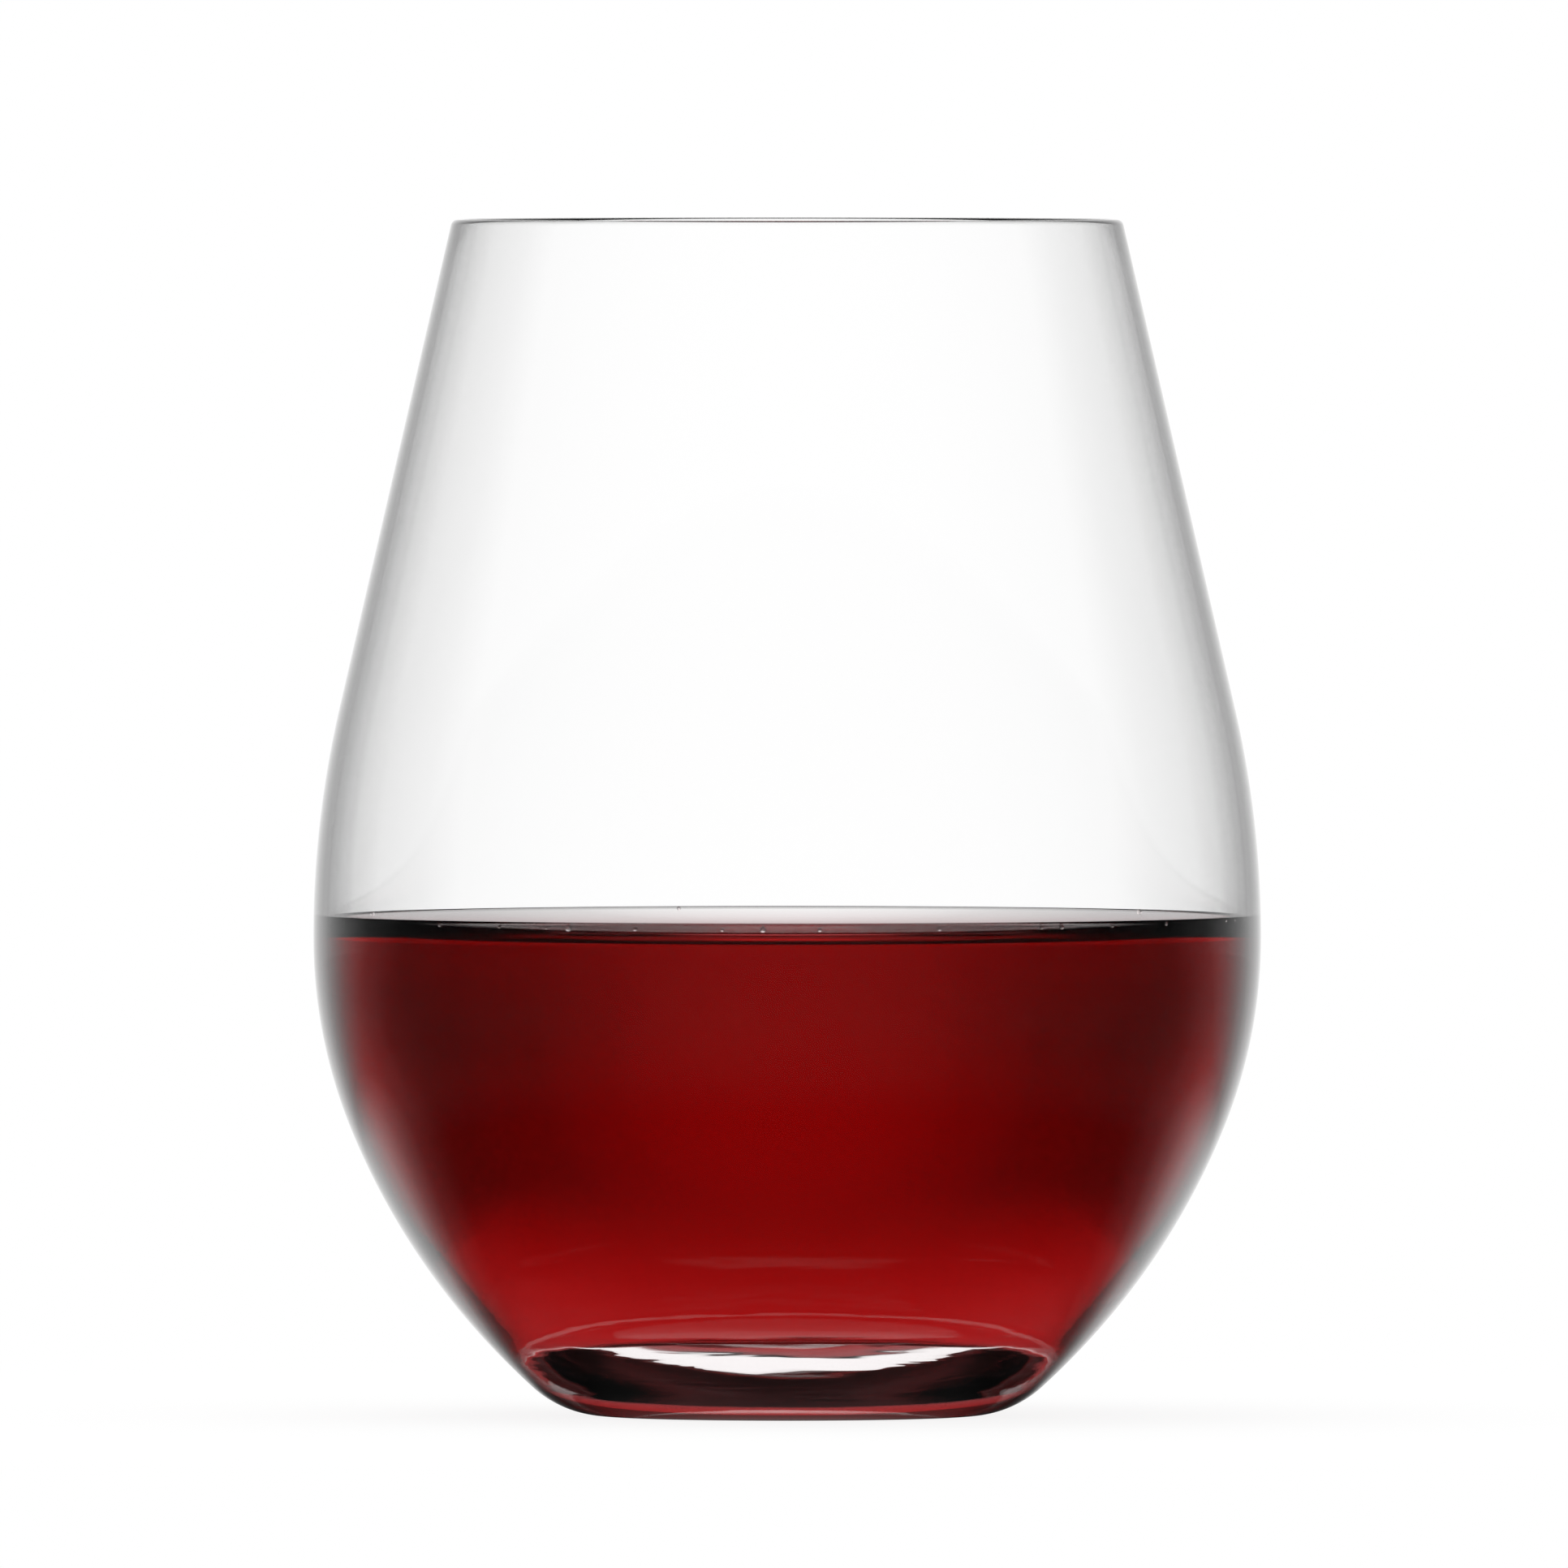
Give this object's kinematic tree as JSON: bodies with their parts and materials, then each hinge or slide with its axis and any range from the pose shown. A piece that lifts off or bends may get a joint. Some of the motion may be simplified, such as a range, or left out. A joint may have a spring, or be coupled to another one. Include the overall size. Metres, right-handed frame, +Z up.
{
  "type": "stemless wine glass",
  "caption": "Stemless drinking glass with a tapered bowl, fire-polished rim and thick flat foot, holding red wine that can swirl inside it.",
  "frame": {"origin": "middle of the foot's underside, on the surface that the glass stands on", "axes": "+Z up along the glass's axis of revolution; the front, as pictured, faces -Y"},
  "size_m": [0.0951, 0.095, 0.12],
  "materials": {
    "clear_glass": "clear, polished, faintly wavy where it was blown",
    "red_wine": "transparent dark red liquid",
    "bubble_film": "thin clear film"
  },
  "bodies": {
    "glass": {"glass_bowl": "clear_glass"},
    "wine": {"red_wine": "red_wine", "wine_bubbles": "bubble_film"}
  },
  "joints": [
    {"name": "wine_swirl", "type": "hinge", "parent": "glass", "child": "wine", "pos_m": [0, 0, 0.03], "axis": [0, 0, 1], "continuous": true}
  ]
}
